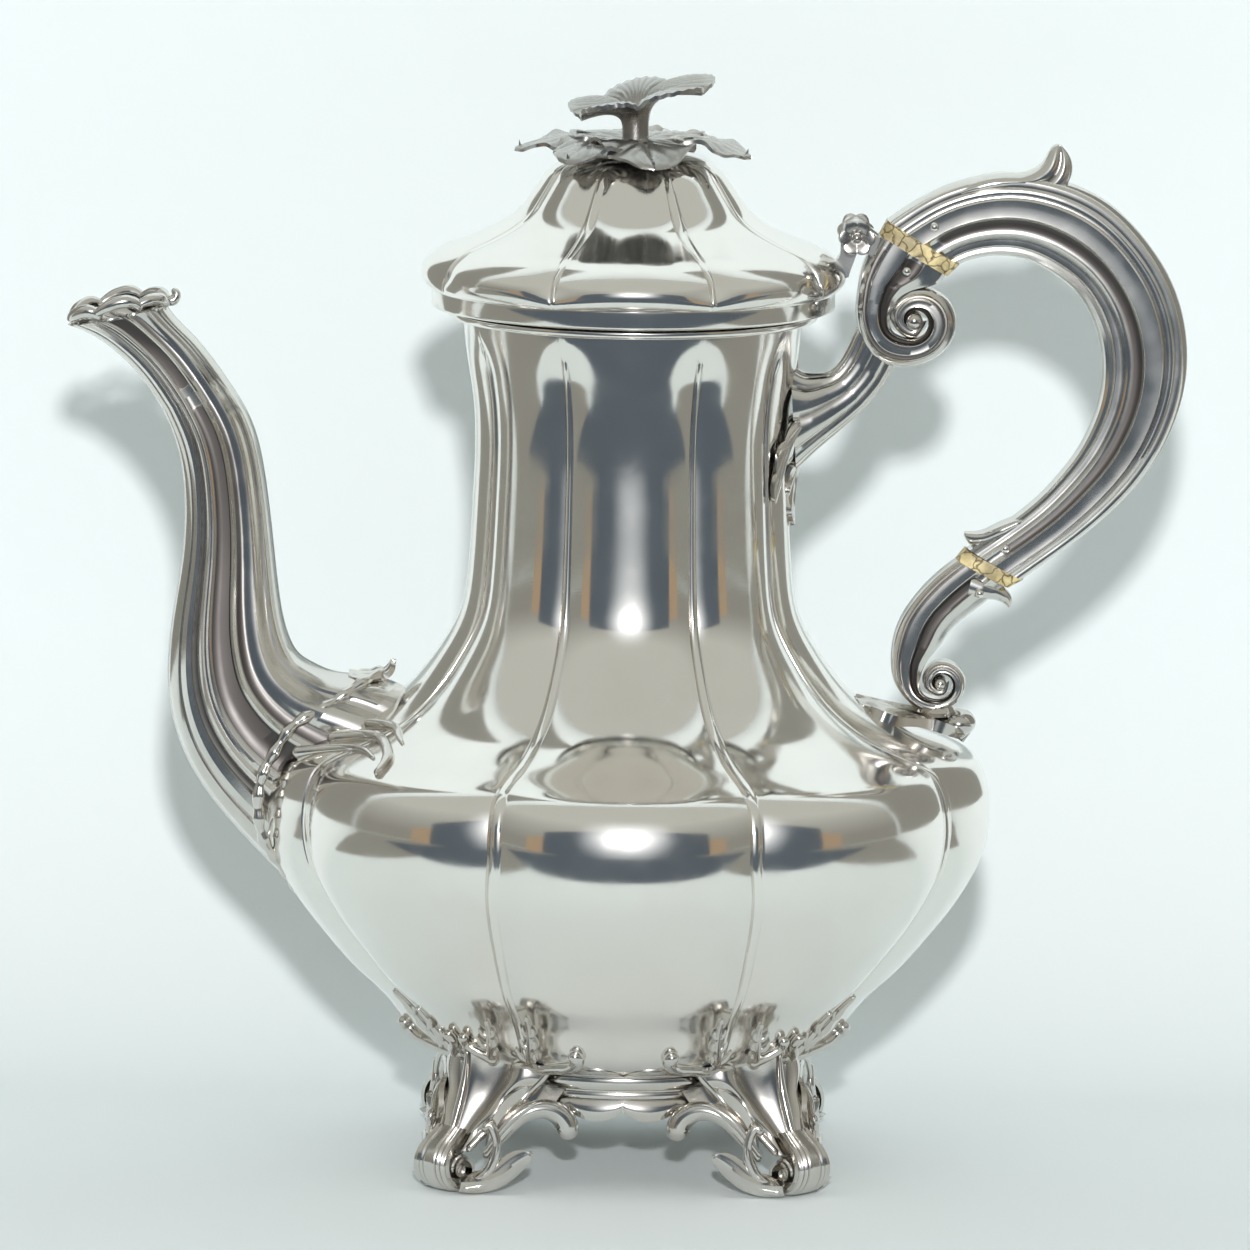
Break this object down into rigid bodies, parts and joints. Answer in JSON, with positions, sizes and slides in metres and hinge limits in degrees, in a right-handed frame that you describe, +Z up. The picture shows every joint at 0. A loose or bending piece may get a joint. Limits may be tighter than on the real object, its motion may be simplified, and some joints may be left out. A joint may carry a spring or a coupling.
{
  "type": "coffee pot",
  "caption": "Panelled melon-shaped silver coffee pot on scroll feet, with a reeded swan-neck spout, hinged domed lid with a flower finial and an insulated scroll handle.",
  "frame": {"origin": "on the table under the middle of the body", "axes": "+Z up, the spout along -X, the handle along +X, the front panel faces -Y"},
  "size_m": [0.2487, 0.1614, 0.2446],
  "materials": {
    "polished_silver": "polished silver with fine wear scratches",
    "cast_silver": "cast and chased silver, darker in the recesses",
    "insulator_bone": "satin cream bone with fine brown age cracks"
  },
  "bodies": {
    "pot": {"body_shell": "polished_silver", "neck_collar": "polished_silver", "foot_ring": "polished_silver", "foot_front_left": "cast_silver", "foot_front_right": "cast_silver", "foot_back_right": "cast_silver", "foot_back_left": "cast_silver", "spout_tube": "polished_silver", "spout_tip": "cast_silver", "upper_socket": "cast_silver", "hinge_knuckles": "cast_silver", "hinge_flower_front": "cast_silver", "hinge_flower_back": "cast_silver", "hinge_pin": "polished_silver", "upper_insulator": "insulator_bone", "upper_handle_pin": "polished_silver", "upper_socket_pin": "polished_silver", "handle_loop": "polished_silver", "thumb_leaf": "cast_silver", "lower_insulator": "insulator_bone", "lower_handle_pin": "polished_silver", "lower_socket_pin": "polished_silver", "lower_socket": "cast_silver", "lower_mount": "cast_silver"},
    "lid": {"lid_shell": "polished_silver", "lid_bezel": "polished_silver", "lid_lug": "cast_silver", "leaf_calyx": "cast_silver", "finial_flower": "cast_silver", "finial_stud": "polished_silver", "finial_washer": "polished_silver", "finial_nut": "polished_silver"}
  },
  "joints": [
    {"name": "lid_hinge", "type": "hinge", "parent": "pot", "child": "lid", "pos_m": [0.049, 0, 0.2084], "axis": [0, 1, 0], "range_deg": [0, 95]}
  ]
}
